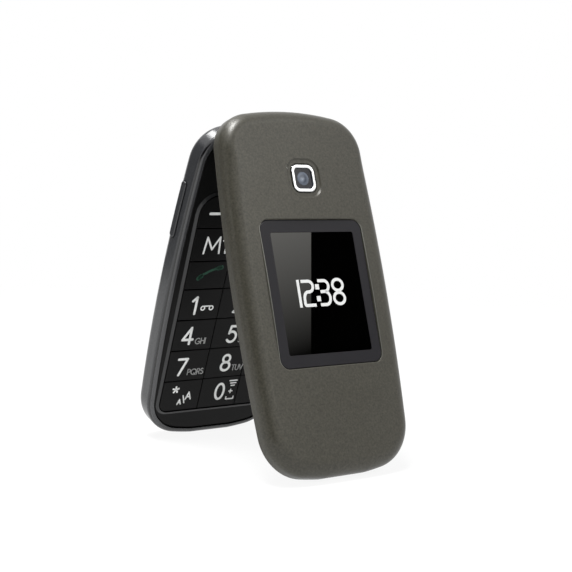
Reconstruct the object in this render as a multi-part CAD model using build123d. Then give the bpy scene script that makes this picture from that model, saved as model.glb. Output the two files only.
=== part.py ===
from build123d import *
import math
import os

# A flip phone standing open like a tent on the free ends of its two halves.
# Each half is drawn as it lies when the phone is shut: x runs across the phone,
# y from the free end (negative) up to the hinge line (y = 0), z from the back of
# the base (negative) to the outer face of the lid. The hinge line is the x axis.
# Lengths are millimetres and angles degrees.

# Outline that both halves share
body_width = 53.0
body_reach = 104.6
side_bulge = 2.05
end_rise = 3.0
foot_rise = 3.6
top_corner = 11.3
foot_corner = 13.7
foot_flat = 0.3
lid_overhang = 2.7
base_setback = 1.45

# How far the phone stands open
open_angle = 37.2

# Lid shell
meeting_gap = 0.25
lid_height = 7.55
lid_crown_radius = 450.0
lid_edge_radius = 4.3
lid_wall = 1.2
lid_skin = 1.3
lid_floor = 1.0
lid_rim_radius = 0.35

# Base shell
base_depth = 8.1
base_front_radius = 1.5
base_overreach = 0.32
base_back_radius = 3.3
base_wall = 1.3
base_skin = 1.0
rim_width = 1.8
rim_gap = 0.2
rim_ledge = 0.9
ledge_thickness = 0.8
plate_edge_radius = 0.5
hinge_block_depth = 2.65
cover_seam = 6.55
cover_start = 24.0
cover_gap = 0.2

# Hinge
barrel_radius = 2.7
barrel_half = 11.0
barrel_gap = 0.3
ear_half = 16.0
seat_gap = 0.3
seat_beyond_ear = 1.2
lip_height = 2.6
neck_high = 5.0
neck_low = 64.0
can_radius = 2.0
can_wall = 0.35
can_length = 10.2
pin_radius = 1.0
pin_grip = 5.0
pin_reach = 3.6
running_clearance = 0.05
fit_clearance = 0.03

# Outer window in the lid
frame_width = 36.4
frame_height = 42.6
frame_corner = 3.0
frame_middle = 52.2
frame_top = 7.05
frame_depth = 1.0
window_width = 29.6
window_height = 35.2
window_corner = 0.6
window_sink = 0.12
window_depth = 0.6
ledge_width = 1.6
panel_clearance = 0.05
opening_radius = 0.35
opening_band = 0.6

# Camera in the lid
ring_size = 8.2
ring_corner = 2.3
ring_band = 1.0
ring_middle = 18.5
ring_top = 7.42
ring_depth = 1.5
dish_size = 10.9
dish_depth = 0.4
dish_corner = 3.7
moat_width = 0.4
moat_depth = 0.8
lens_radius = 2.0
lens_dome = 0.35
lens_sink = 0.55
lens_plate = 0.6

# Inner face of the lid
inner_window_margin = 3.5
inner_window_top = 19.0
inner_window_foot_inset = 19.6
inner_window_corner = 4.0
inner_window_depth = 0.55
view_width = 37.0
view_height = 50.0
earpiece_slot_width = 9.0
earpiece_slot_height = 1.5
earpiece_middle = 11.5
bumper_radius = 1.6
bumper_rise = 0.4
bumper_x = 13.0
bumper_inset = 4.4

# Keypad
keypad_margin = 5.1
keypad_start = 22.7
keypad_foot_inset = 9.3
row_shares = [0, 0.1405, 0.2893, 0.4174, 0.5606, 0.7052, 0.8526, 1]
keypad_top_corner = 6.0
keypad_foot_corner = 3.2
key_gap = 0.25
key_sink = 0.05
key_height = 1.85
key_crown = 0.2
key_travel = 0.4
key_rest_gap = 0.05
plate_sink = 0.3
plate_thickness = 1.25
island_rise = 0.25
bevel_width = 1.0

# Stack under the keypad
mat_thickness = 0.5
dome_thickness = 0.2
stack_gap = 0.05
board_thickness = 0.6
board_margin = 5.7
board_top = 8.0
board_foot_inset = 7.6
bay_floor_thickness = 0.4
bay_foot_inset = 8.6
bay_wall = 1.2

# Battery and what sits beside it
battery_width = 36.0
battery_top = 27.5
battery_foot_inset = 27.1
battery_depth = 2.8
battery_corner = 1.5
contact_width = 9.0
contact_length = 2.4
contact_height = 2.0
card_width = 16.0
card_length = 12.0
card_height = 1.2
card_gap = 1.5

# Units on the main board
shield_width = 10.5
shield_length = 12.5
shield_height = 1.3
shield_x = 13.75
shield_down = 15.75
speaker_width = 14.0
speaker_length = 10.0
speaker_x = 9.0
speaker_down = 15.0
grille_width = 10.0
grille_slot = 0.8
grille_pitch = 2.0
motor_radius = 1.5
motor_length = 8.0
motor_x = 3.5
motor_down = 15.0
bay_clearance = 0.15
antenna_width = 12.0
antenna_length = 4.0
antenna_height = 1.6
antenna_inset = 8.1
microphone_radius = 1.5
microphone_height = 1.5
microphone_hole = 0.5
microphone_x = 17.0
microphone_inset = 5.7

# Volume key on the left side
rocker_top = 20.0
rocker_foot = 37.4
rocker_corner = 0.95
rocker_rise = 0.45
rocker_bed = 1.0
rocker_width = 2.4
rocker_middle = 4.55
rocker_gap = 0.25
rocker_edge = 0.3
rocker_slot_depth = 3.2
switch_thickness = 1.2
switch_setback = 1.4
switch_length = 5.8

# Charging socket in the free end
socket_width = 7.8
socket_height = 2.7
socket_length = 6.0
socket_wall = 0.35
socket_middle = 5.2
socket_setback = 0.6
socket_clearance = 0.15
socket_cut_inset = 8.1

# Screws
screw_shank = 0.6
screw_head = 1.0
screw_head_height = 0.5
base_screw_margin = 3.8
base_screw_top = 41.0
base_screw_foot_inset = 16.6
lid_screw_margin = 6.2
lid_screw_top = 10.0
lid_screw_foot_inset = 14.6
lid_screw_reach = 3.0
boss_wall = 0.5

# Lid board, displays and the units beside them
lid_board_width = 34.0
lid_board_top = 8.0
lid_board_foot_inset = 12.6
lid_board_thickness = 0.6
main_display_depth = 1.5
outer_display_width = 31.5
outer_display_height = 37.5
earpiece_width = 12.0
earpiece_height = 5.4
earpiece_corner = 2.0
module_size = 5.8
module_corner = 1.5
magnet_x = 10.0
magnet_width = 6.0
magnet_height = 2.0
magnet_depth = 2.0
magnet_inset = 8.1

# Where things lie when the phone is shut
base_front = -meeting_gap
base_back = base_front - base_depth
block_split = base_front - hinge_block_depth
cover_split = base_front - cover_seam
plate_face = base_front - plate_sink
plate_back = plate_face - plate_thickness
island_face = base_front + island_rise
key_face = island_face - key_sink
key_foot = key_face - key_height
mat_face = key_foot - key_travel - key_rest_gap
mat_back = mat_face - mat_thickness
dome_back = mat_back - stack_gap - dome_thickness
board_face = dome_back - stack_gap
board_back = board_face - board_thickness
bay_face = board_back - 3 * stack_gap
bay_back = bay_face - bay_floor_thickness
cover_inside = base_back + base_skin
lid_inner = meeting_gap
lid_inside = lid_inner + lid_floor
lid_outer = lid_inner + lid_height - meeting_gap
lid_under_skin = lid_outer - lid_skin
seat_radius = math.hypot(lid_overhang, lip_height) + seat_gap

# Where things lie across and along the two halves
base_reach = body_reach + base_overreach
keypad_half = body_width / 2 - keypad_margin
column_width = 2 * keypad_half / 3
keypad_length = body_reach - keypad_foot_inset - keypad_start
keypad_rows = [keypad_start + share * keypad_length for share in row_shares]
board_half = body_width / 2 - board_margin
board_foot = body_reach - board_foot_inset
bay_foot = body_reach - bay_foot_inset
battery_foot = body_reach - battery_foot_inset
base_screw_x = body_width / 2 - base_screw_margin
base_screw_rows = [base_screw_top, body_reach - base_screw_foot_inset]
lid_screw_x = body_width / 2 - lid_screw_margin
lid_screw_rows = [lid_screw_top, body_reach - lid_screw_foot_inset]
inner_window_width = body_width - 2 * inner_window_margin
inner_window_height = body_reach - inner_window_foot_inset - inner_window_top
inner_window_middle = inner_window_top + inner_window_height / 2
lid_board_foot = body_reach - lid_board_foot_inset
bumper_y = body_reach - bumper_inset
magnet_y = body_reach - magnet_inset
microphone_y = body_reach - microphone_inset


def arc_radius(chord, rise):
    # The radius of an arc that stands this high over its chord.
    return (chord**2 / 4 + rise**2) / (2 * rise)


def plan(top, foot, inset=0.0):
    # The outline of one half, square on, from its hinge end to its free end.
    # It is where four large discs overlap, one for each side, with the corners rounded.
    # The middle of the free end is cut flat, so that the phone stands without rocking.
    half = body_width / 2
    chord = 2 * (half - side_bulge)
    length = foot - top - end_rise - foot_rise
    middle = -(top + end_rise) - length / 2
    side = arc_radius(length, side_bulge)
    head = arc_radius(chord, end_rise)
    tail = arc_radius(chord, foot_rise)
    face = Pos(half - side, middle) * Circle(side - inset)
    face = face & Pos(side - half, middle) * Circle(side - inset)
    face = face & Pos(0, -top - head) * Circle(head - inset)
    face = face & Pos(0, -foot + tail) * Circle(tail - inset)
    face = fillet(face.vertices().sort_by(Axis.Y)[-2:], radius=top_corner - inset)
    face = fillet(face.vertices().sort_by(Axis.Y)[:2], radius=foot_corner - inset)
    reach = foot - foot_flat - inset
    return face & Pos(0, body_reach - reach) * Rectangle(2 * body_width, 2 * body_reach)


def slab(face, low, high):
    return Pos(0, 0, low) * extrude(face, amount=high - low)


def block(x_low, x_high, y_low, y_high, z_low, z_high):
    middle = Pos((x_low + x_high) / 2, (y_low + y_high) / 2, (z_low + z_high) / 2)
    return middle * Box(x_high - x_low, y_high - y_low, z_high - z_low)


def panel(width, height, corner, down, low, high):
    # A flat plate with rounded corners whose middle lies this far below the hinge.
    return Pos(0, -down, 0) * slab(RectangleRounded(width, height, corner), low, high)


def post(radius, x, y, low, high):
    return Pos(x, y, (low + high) / 2) * Cylinder(radius, high - low)


def rod(radius, x_low, x_high):
    # A round bar lying along the hinge line.
    return Pos((x_low + x_high) / 2, 0, 0) * Rot(0, 90, 0) * Cylinder(radius, x_high - x_low)


def only(shape):
    # The largest solid, without any loose crumb that a cut has left.
    return Part() + shape.solids().sort_by(lambda solid: solid.volume)[-1]


wide = body_width
far = body_reach + 10
lid_plan = plan(-lid_overhang, body_reach)
base_plan = plan(base_setback, base_reach)


def crowned(inset, height, edge):
    # The lid's space: a slab under a gently crowned face with a rounded rim.
    crown = Pos(0, -body_reach / 2, height - lid_crown_radius) * Rot(90, 0, 0)
    raw = slab(plan(-lid_overhang, body_reach, inset), lid_inner, height + 1)
    solid = raw & crown * Cylinder(lid_crown_radius, 2 * far)
    return fillet(solid.faces().sort_by(Axis.Z)[-1].edges(), radius=edge)


def opening_edges(solid, down, size):
    # The edges that an opening leaves on the crowned outer face.
    found = ShapeList()
    for edge in solid.edges():
        spot = edge.center()
        beside = abs(spot.X) < size and abs(spot.Y + down) < size
        if beside and spot.Z > lid_outer - opening_band:
            found.append(edge)
    return found


def lid_shells():
    # Outer cover and inner cover of the lid, with the two hinge ears on the inner one.
    outside = crowned(0, lid_outer, lid_edge_radius)
    outside = fillet(outside.faces().sort_by(Axis.Z)[0].edges(), radius=lid_rim_radius)
    inside = crowned(lid_wall, lid_under_skin, lid_edge_radius - lid_wall)
    barrel_space = rod(barrel_radius + barrel_gap, -barrel_half - barrel_gap, barrel_half + barrel_gap)
    lip_space = block(
        -barrel_half - barrel_gap, barrel_half + barrel_gap,
        0, far, -barrel_radius - barrel_gap, lip_height,
    )

    cover = outside - inside
    boss_foot = lid_inside + stack_gap
    frame_back = frame_top - frame_depth
    ledge = panel(
        frame_width + 2 * ledge_width, frame_height + 2 * ledge_width, frame_corner + ledge_width,
        frame_middle, frame_back - frame_depth, lid_under_skin + 0.2,
    )
    cover = cover + ledge
    for row in lid_screw_rows:
        for side in (-1, 1):
            boss = post(screw_shank + 2 * boss_wall, side * lid_screw_x, -row, boss_foot, lid_under_skin)
            cover = cover + boss
            cover = cover - post(screw_shank + fit_clearance, side * lid_screw_x, -row, 0, lid_inside + lid_screw_reach)
    cover = cover - panel(
        frame_width + 2 * panel_clearance, frame_height + 2 * panel_clearance,
        frame_corner + panel_clearance, frame_middle, frame_back - panel_clearance, far,
    )
    cover = cover - panel(
        frame_width - 2 * ledge_width, frame_height - 2 * ledge_width, frame_corner / 2,
        frame_middle, lid_inside, far,
    )
    cover = fillet(opening_edges(cover, frame_middle, frame_height / 2 + 1), radius=opening_radius)
    dish = extrude(RectangleRounded(dish_size, dish_size, dish_corner), amount=2 * dish_depth, taper=-50)
    cover = cover - Pos(0, -ring_middle, lid_outer - dish_depth) * dish
    hole = ring_size + 2 * panel_clearance
    cover = cover - panel(hole, hole, ring_corner + panel_clearance, ring_middle, lid_inside, far)
    moat = ring_size + 2 * moat_width
    cover = cover - panel(moat, moat, ring_corner + moat_width, ring_middle, ring_top - moat_depth, far)
    cover = cover - barrel_space - lip_space

    tray = slab(plan(-lid_overhang, body_reach, lid_wall + panel_clearance), lid_inner, lid_inside)
    ears = rod(barrel_radius, -ear_half, ear_half) & slab(lid_plan, -barrel_radius, barrel_radius)
    tray = tray + ears - barrel_space - lip_space
    pin_hole = rod(pin_radius + running_clearance, -ear_half + 1.0, ear_half - 1.0)
    tray = tray - pin_hole
    cover = cover - rod(barrel_radius + stack_gap, -ear_half, ear_half)
    tray = tray - panel(
        inner_window_width + 2 * panel_clearance, inner_window_height + 2 * panel_clearance,
        inner_window_corner + panel_clearance, inner_window_middle,
        lid_inner - 1, lid_inner + inner_window_depth + panel_clearance,
    )
    tray = tray - panel(view_width, view_height, 1.0, inner_window_middle, 0, lid_inside + 1)
    slot = panel(
        earpiece_slot_width, earpiece_slot_height, earpiece_slot_height / 2 - 0.01,
        earpiece_middle, 0, lid_inside + 1,
    )
    tray = tray - slot
    for side in (-1, 1):
        seat = post(bumper_radius + panel_clearance, side * bumper_x, -bumper_y, 0, lid_inner + lid_floor / 2)
        tray = tray - seat
        for row in lid_screw_rows:
            head = post(
                screw_head + 2 * panel_clearance, side * lid_screw_x, -row,
                0, lid_inner + screw_head_height + panel_clearance,
            )
            tray = tray - head
            tray = tray - post(screw_shank + 2 * panel_clearance, side * lid_screw_x, -row, 0, lid_inside + 1)
    return {"lid_outer_cover": only(cover), "lid_inner_cover": only(tray)}


def lid_windows():
    # The outer window with its frame, and the large inner window.
    frame_back = frame_top - frame_depth
    frame = panel(frame_width, frame_height, frame_corner, frame_middle, frame_back, frame_top)
    frame = chamfer(frame.faces().sort_by(Axis.Z)[-1].edges(), length=0.2)
    opening = panel(
        window_width + 2 * panel_clearance, window_height + 2 * panel_clearance,
        window_corner + panel_clearance, frame_middle,
        frame_top - window_sink - window_depth - panel_clearance, frame_top + 1,
    )
    rest = panel(window_width - 1.6, window_height - 1.6, window_corner, frame_middle, 0, far)
    glass_top = frame_top - window_sink
    glass = panel(
        window_width, window_height, window_corner, frame_middle, glass_top - window_depth, glass_top
    )
    inner = panel(
        inner_window_width, inner_window_height, inner_window_corner,
        inner_window_middle, lid_inner, lid_inner + inner_window_depth,
    )
    slot = panel(
        earpiece_slot_width, earpiece_slot_height, earpiece_slot_height / 2 - 0.01,
        earpiece_middle, 0, far,
    )
    return {"window_frame": frame - opening - rest, "outer_window": glass, "inner_window": inner - slot}


def camera_parts():
    # Bright square ring, the dark plate with its round lens, and the camera behind it.
    low = ring_top - ring_depth
    ring = panel(ring_size, ring_size, ring_corner, ring_middle, low, ring_top)
    inner_size = ring_size - 2 * ring_band
    ring = ring - panel(inner_size, inner_size, ring_corner - ring_band, ring_middle, 0, far)
    ring = fillet(ring.faces().sort_by(Axis.Z)[-1].edges(), radius=0.3)
    plate_size = inner_size - 2 * panel_clearance
    lens_top = ring_top - lens_sink
    lens = panel(
        plate_size, plate_size, ring_corner - ring_band - panel_clearance,
        ring_middle, lens_top - lens_plate, lens_top,
    )
    ball = (lens_radius**2 + lens_dome**2) / (2 * lens_dome)
    dome = Pos(0, -ring_middle, lens_top + lens_dome - ball) * Sphere(ball)
    dome = dome & post(lens_radius, 0, -ring_middle, lens_top - lens_plate / 2, far)
    board_outer = lid_inside + stack_gap + main_display_depth + stack_gap + lid_board_thickness
    module = panel(
        module_size, module_size, module_corner, ring_middle,
        board_outer + stack_gap, lens_top - lens_plate - stack_gap,
    )
    return {"camera_ring": ring, "camera_lens": lens + dome, "camera_module": module}


def lid_inside_parts():
    # Displays, circuit board, earpiece, magnet, bumpers and screws of the lid.
    low = lid_inside + stack_gap
    screen = panel(view_width + 3, view_height + 6, 0.8, inner_window_middle, low, low + main_display_depth)
    board_low = low + main_display_depth + stack_gap
    board_high = board_low + lid_board_thickness
    board = block(
        -lid_board_width / 2, lid_board_width / 2, -lid_board_foot, -lid_board_top, board_low, board_high
    )
    board = fillet(board.edges().filter_by(Axis.Z), radius=2.0)
    window_back = frame_top - window_sink - window_depth
    small = panel(
        outer_display_width, outer_display_height, 0.6, frame_middle,
        board_high + stack_gap, window_back - 0.35,
    )
    mesh_high = lid_inner + lid_floor / 2 + 0.3
    mesh = panel(
        earpiece_slot_width - 0.2, earpiece_slot_height - 0.2, earpiece_slot_height / 2 - 0.15,
        earpiece_middle, lid_inner + lid_floor / 2, mesh_high,
    )
    speaker = panel(
        earpiece_width, earpiece_height, earpiece_corner, earpiece_middle, low, board_low - stack_gap
    )
    magnet = Pos(magnet_x, -magnet_y, low + magnet_depth / 2) * Box(magnet_width, magnet_height, magnet_depth)
    screw_tip = lid_inside + lid_screw_reach - 0.2
    bumper = Part()
    screws = Part()
    for side in (-1, 1):
        x = side * bumper_x
        bumper = bumper + post(bumper_radius, x, -bumper_y, lid_inner - bumper_rise, lid_inner + lid_floor / 2)
        for row in lid_screw_rows:
            x = side * lid_screw_x
            head = post(screw_head, x, -row, lid_inner + 0.02, lid_inner + 0.02 + screw_head_height)
            screws = screws + (head + post(screw_shank, x, -row, lid_inner + screw_head_height, screw_tip))
    return {
        "main_display": screen,
        "lid_board": board,
        "outer_display": small,
        "earpiece_mesh": mesh,
        "earpiece": speaker,
        "lid_magnet": magnet,
        "lid_bumpers": bumper,
        "lid_screws": screws,
    }


def base_blank():
    # The closed outer shape of the base, with the round seat for the hinge cut out.
    solid = slab(base_plan, base_back, base_front)
    solid = fillet(solid.faces().sort_by(Axis.Z)[0].edges(), radius=base_back_radius)
    solid = fillet(solid.faces().sort_by(Axis.Z)[-1].edges(), radius=base_front_radius)
    reach = ear_half + seat_beyond_ear
    return solid - rod(seat_radius, -reach, reach)


def neck():
    # The web that joins the middle barrel to the base inside the lid's sweep.
    size = seat_radius + 0.6
    points = [(0, 0)]
    for angle in (neck_high, (neck_high + neck_low) / 2, neck_low):
        turn = math.radians(angle)
        points.append((-size * math.cos(turn), -size * math.sin(turn)))
    wedge = extrude(Plane.YZ * make_face(Polyline(*points, close=True)), amount=barrel_half, both=True)
    return wedge & rod(seat_radius, -barrel_half, barrel_half)


def base_shells():
    # Front housing, rear housing and battery cover.
    blank = base_blank()
    reach = ear_half + seat_beyond_ear
    hollow_top = seat_radius + base_wall
    in_plan = plan(base_setback, base_reach, base_wall)
    hollow = block(-wide, wide, -far, -hollow_top, base_back, 0)
    inside = slab(in_plan, cover_inside, plate_back) & hollow
    rim_plan = plan(base_setback, base_reach, rim_width)
    plate_plan = plan(base_setback, base_reach, rim_width + rim_gap)
    hinge_space = block(-reach, reach, -hollow_top, far, block_split, far)

    plate = slab(plate_plan, plate_back, plate_face)
    plate = fillet(plate.faces().sort_by(Axis.Z)[-1].edges(), radius=plate_edge_radius)
    span = reach - rim_gap
    hinge_block = block(-span, span, -hollow_top, 0, block_split + stack_gap, plate_face)
    front = plate + hinge_block - rod(seat_radius, -reach, reach)
    island_plan = keypad_field(-key_gap - bevel_width)
    angle = math.degrees(math.atan(bevel_width / (island_face - plate_face)))
    island = Pos(0, 0, plate_face) * extrude(island_plan, amount=island_face - plate_face, taper=angle)
    front = front + (slab(island_plan, plate_back, plate_face) + island)
    front = front - slab(keypad_field(-key_gap), -far, 1)
    front = front + rod(barrel_radius, -barrel_half, barrel_half) + neck()
    front = front - rod(can_radius + fit_clearance, -barrel_half - 1, -barrel_half + can_length)
    front = front - rod(pin_radius + fit_clearance, barrel_half - pin_grip, barrel_half + 1)
    front = front - post(microphone_hole, microphone_x, -microphone_y, -far, 1)
    for row in base_screw_rows:
        for side in (-1, 1):
            front = front + post(screw_shank + boss_wall, side * base_screw_x, -row, bay_face + stack_gap, plate_back)
            front = front - post(screw_shank + fit_clearance, side * base_screw_x, -row, -far, plate_back)

    ledge_back = plate_back - ledge_thickness
    ledge_plan = plan(base_setback, base_reach, rim_width + rim_ledge)
    room = slab(in_plan, cover_inside, ledge_back) + slab(ledge_plan, ledge_back - 1, plate_back + 1)
    rear = blank - hinge_space - slab(rim_plan, plate_back, far) - (room & hollow)
    filling = slab(plan(base_setback, base_reach, base_wall - 0.1), cover_inside - 0.1, bay_face)
    rear = rear + (filling & block(-wide, wide, -bay_foot, -cover_start, bay_back, bay_face))
    rear = rear + (filling & block(-wide, wide, -cover_start, -cover_start + bay_wall, -far, 0))
    rear = rear - block(-wide, wide, -far, -cover_start, -far, cover_split)
    for row in base_screw_rows:
        for side in (-1, 1):
            rear = rear - post(screw_shank + 2 * panel_clearance, side * base_screw_x, -row, -far, bay_face + 1)
            boss = screw_shank + boss_wall + panel_clearance
            rear = rear - post(boss, side * base_screw_x, -row, bay_face + stack_gap, plate_back)
    ear = post(microphone_radius + bay_clearance, microphone_x, -microphone_y, bay_face + 1, plate_back)
    rear = rear - ear
    for step in (-1, 0, 1):
        y = -speaker_down + grille_pitch * step
        rear = rear - block(
            speaker_x - grille_width / 2, speaker_x + grille_width / 2,
            y - grille_slot / 2, y + grille_slot / 2, -far, cover_inside + 0.1,
        )
    rear = rear - rocker_space()
    socket_half = socket_height / 2 + socket_clearance
    rear = rear - block(
        -socket_width / 2 - socket_clearance, socket_width / 2 + socket_clearance,
        -far, -body_reach + socket_cut_inset,
        base_front - socket_middle - socket_half, base_front - socket_middle + socket_half,
    )

    cover = (blank & block(-wide, wide, -far, -cover_start - cover_gap, -far, cover_split - cover_gap)) - inside
    return {"front_housing": only(front), "rear_housing": only(rear), "battery_cover": only(cover)}


def rocker_space():
    # The slot in the side wall that the volume key rocks in.
    high = base_front - rocker_middle + rocker_width / 2 + rocker_gap
    low = base_front - rocker_middle - rocker_width / 2 - rocker_gap
    slot = block(
        -wide, -body_width / 2 + rocker_slot_depth, -rocker_foot - rocker_gap, -rocker_top + rocker_gap, low, high
    )
    return fillet(slot.edges().filter_by(Axis.X), radius=rocker_corner + rocker_gap)


def rocker_parts():
    # The volume key and the small switch behind it.
    outer = plan(base_setback, base_reach, -rocker_rise)
    inner = plan(base_setback, base_reach, rocker_bed)
    low = base_front - rocker_middle - rocker_width / 2
    high = base_front - rocker_middle + rocker_width / 2
    bar = block(-wide, 0, -rocker_foot, -rocker_top, low, high)
    bar = fillet(bar.edges().filter_by(Axis.X), radius=rocker_corner)
    key = (slab(outer, low, high) - slab(inner, low - 1, high + 1)) & bar
    key = fillet(key.faces().sort_by(Axis.X)[0].edges(), radius=rocker_edge)
    bed = body_width / 2 - rocker_bed - switch_setback
    top = -cover_start - 0.4
    switch = block(-bed, -bed + switch_thickness, top - switch_length, top, low + 0.3, bay_back - stack_gap)
    return {"volume_key": key, "volume_switch": switch}


def keypad_field(inset):
    # The flat outline that all the keys fill together.
    height = keypad_rows[-1] - keypad_rows[0] - 2 * inset
    field = Rectangle(2 * (keypad_half - inset), height)
    field = Pos(0, -(keypad_rows[-1] + keypad_rows[0]) / 2) * field
    field = fillet(field.vertices().sort_by(Axis.Y)[-2:], radius=keypad_top_corner - inset)
    return fillet(field.vertices().sort_by(Axis.Y)[:2], radius=keypad_foot_corner - inset)


def keys():
    # One solid for each key: (first row, last row, column).
    layout = {
        "softkey_left": (0, 0, -1),
        "nav_key": (0, 1, 0),
        "softkey_right": (0, 0, 1),
        "memory_key_1": (1, 1, -1),
        "memory_key_2": (1, 1, 1),
        "call_key": (2, 2, -1),
        "clear_key": (2, 2, 0),
        "end_key": (2, 2, 1),
        "star_key": (6, 6, -1),
        "key_0": (6, 6, 0),
        "hash_key": (6, 6, 1),
    }
    for digit in range(1, 10):
        row = 3 + (digit - 1) // 3
        layout["key_%d" % digit] = (row, row, (digit - 1) % 3 - 1)
    field = slab(keypad_field(0), key_foot, key_face)
    made = {}
    for name, (first, last, column) in layout.items():
        cell = block(
            (column - 0.5) * column_width + key_gap / 2, (column + 0.5) * column_width - key_gap / 2,
            -keypad_rows[last + 1] + key_gap / 2, -keypad_rows[first] - key_gap / 2,
            key_foot, key_face,
        )
        key = only(field & cell)
        made[name] = fillet(key.faces().sort_by(Axis.Z)[-1].edges(), radius=key_crown)
    return made


def base_inside_parts():
    # Key mat, dome sheet, circuit board and the parts on it, battery and screws.
    mat = slab(keypad_field(0.4), mat_back, mat_face)
    domes = slab(keypad_field(0.8), dome_back, mat_back - stack_gap)
    board = block(-board_half, board_half, -board_foot, -board_top, board_back, board_face)
    shield = Pos(-shield_x, -shield_down, board_back - shield_height / 2)
    shield = shield * Box(shield_width, shield_length, shield_height)
    speaker = block(
        speaker_x - speaker_width / 2, speaker_x + speaker_width / 2,
        -speaker_down - speaker_length / 2, -speaker_down + speaker_length / 2,
        cover_inside + 0.1, board_back - 0.3,
    )
    motor = Rot(0, 90, 0) * Cylinder(motor_radius, motor_length)
    motor = Pos(-motor_x, -motor_down, cover_inside + bay_clearance + motor_radius) * motor
    battery_back = bay_back - stack_gap - battery_depth
    battery = block(
        -battery_width / 2, battery_width / 2, -battery_foot, -battery_top,
        battery_back, bay_back - stack_gap,
    )
    battery = fillet(battery.edges().filter_by(Axis.Z), radius=battery_corner)
    end = -battery_foot - 0.3
    contacts = block(
        -contact_width / 2, contact_width / 2, end - contact_length, end, bay_back - contact_height, bay_back
    )
    card_top = end - contact_length - card_gap
    card = block(
        -card_width / 2, card_width / 2, card_top - card_length, card_top, bay_back - card_height, bay_back
    )
    aerial_foot = -body_reach + antenna_inset
    aerial = block(
        card_width / 2, card_width / 2 + antenna_width, aerial_foot, aerial_foot + antenna_length,
        bay_back - antenna_height, bay_back,
    )
    microphone = post(
        microphone_radius, microphone_x, -microphone_y,
        plate_back - stack_gap - microphone_height, plate_back - stack_gap,
    )
    screws = Part()
    for row in base_screw_rows:
        for side in (-1, 1):
            x = side * base_screw_x
            head = post(screw_head, x, -row, bay_back - screw_head_height, bay_back)
            screws = screws + (head + post(screw_shank, x, -row, bay_back, plate_back - 0.2))
    middle = base_front - socket_middle
    mouth = -body_reach + socket_setback
    shell = block(
        -socket_width / 2, socket_width / 2, mouth, mouth + socket_length,
        middle - socket_height / 2, middle + socket_height / 2,
    )
    shell = shell - block(
        -socket_width / 2 + socket_wall, socket_width / 2 - socket_wall,
        -body_reach, -body_reach + socket_length, middle - socket_height / 2 + socket_wall,
        middle + socket_height / 2 - socket_wall,
    )
    return {
        "keypad_mat": mat,
        "dome_sheet": domes,
        "main_board": board,
        "shield_can": shield,
        "loudspeaker": speaker,
        "vibration_motor": motor,
        "battery": battery,
        "battery_contacts": contacts,
        "card_holder": card,
        "antenna": aerial,
        "microphone": microphone,
        "base_screws": screws,
        "charge_socket": shell,
    }


def hinge_parts():
    # The sprung cam in the left half of the barrel and the plain pin in the right half.
    left = -barrel_half
    can = rod(can_radius, left, left + can_length)
    can = can - rod(can_radius - can_wall, left - 1, left + can_length - can_wall)
    cam_radius = can_radius - can_wall - running_clearance
    cam = rod(cam_radius, left + 0.4, left + 3.0) + rod(pin_radius, left - pin_reach, left + 0.4)
    spring = rod(cam_radius - 0.05, left + 3.0 + running_clearance, left + can_length - can_wall - 0.05)
    spring = spring - rod(cam_radius - 0.5, left, left + can_length)
    pin = rod(pin_radius, barrel_half - pin_grip + 0.1, barrel_half + pin_reach)
    return {"hinge_can": can, "hinge_spring": spring, "hinge_pin": pin}, {"hinge_cam": cam}


def assemble():
    # Each half turned about the hinge line, then the whole set down on its two ends.
    base_parts = {**base_shells(), **rocker_parts(), **keys(), **base_inside_parts()}
    lid_parts = {**lid_shells(), **lid_windows(), **camera_parts(), **lid_inside_parts()}
    hinge_base, hinge_lid = hinge_parts()
    base_parts.update(hinge_base)
    lid_parts.update(hinge_lid)
    placed = {}
    for name, solid in base_parts.items():
        placed[name] = Rot(90 + open_angle / 2, 0, 0) * solid
    for name, solid in lid_parts.items():
        placed[name] = Rot(90 - open_angle / 2, 0, 0) * solid
    whole = Compound(children=[Compound(shape.solids()) for shape in placed.values()])
    bounds = whole.bounding_box()
    shift = Pos(0, -(bounds.min.Y + bounds.max.Y) / 2, -bounds.min.Z)
    print("hinge line at y", round(shift.position.Y, 4), "z", round(shift.position.Z, 4))
    return {name: shift * shape for name, shape in placed.items()}


os.makedirs("parts", exist_ok=True)
for name, shape in assemble().items():
    export_step(Compound(shape.solids()), os.path.join("parts", name + ".step"))
    print(name, round(sum(solid.volume for solid in shape.solids()), 1))
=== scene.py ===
import math
import bmesh
import bpy
from mathutils import Matrix, Vector


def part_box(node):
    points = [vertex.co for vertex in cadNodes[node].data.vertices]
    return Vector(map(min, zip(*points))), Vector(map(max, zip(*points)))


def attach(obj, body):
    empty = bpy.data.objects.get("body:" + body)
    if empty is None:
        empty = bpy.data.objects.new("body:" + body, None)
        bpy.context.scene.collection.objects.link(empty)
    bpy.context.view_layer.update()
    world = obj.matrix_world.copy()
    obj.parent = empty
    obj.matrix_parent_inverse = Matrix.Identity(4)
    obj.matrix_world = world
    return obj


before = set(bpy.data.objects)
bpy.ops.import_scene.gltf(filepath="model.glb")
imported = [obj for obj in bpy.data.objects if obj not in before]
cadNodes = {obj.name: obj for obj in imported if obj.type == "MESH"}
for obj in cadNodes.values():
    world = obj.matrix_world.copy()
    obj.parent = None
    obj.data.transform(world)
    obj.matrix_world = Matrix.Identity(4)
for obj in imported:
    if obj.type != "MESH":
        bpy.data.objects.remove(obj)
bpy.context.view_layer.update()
print("frame loaded")

# Each half is drawn as it lies in the shut phone, in millimetres: x across, y from the hinge line,
# so that it is negative down the half, and z above the plane where the halves meet.
stance = {"openAngle": 37.2, "millimetre": 0.001}
pinLow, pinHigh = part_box("hinge_pin")
hingeLine = Vector((0, (pinLow.y + pinHigh.y) / 2, (pinLow.z + pinHigh.z) / 2))
lidTurn = 90 - stance["openAngle"] / 2
baseTurn = 90 + stance["openAngle"] / 2


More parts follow.
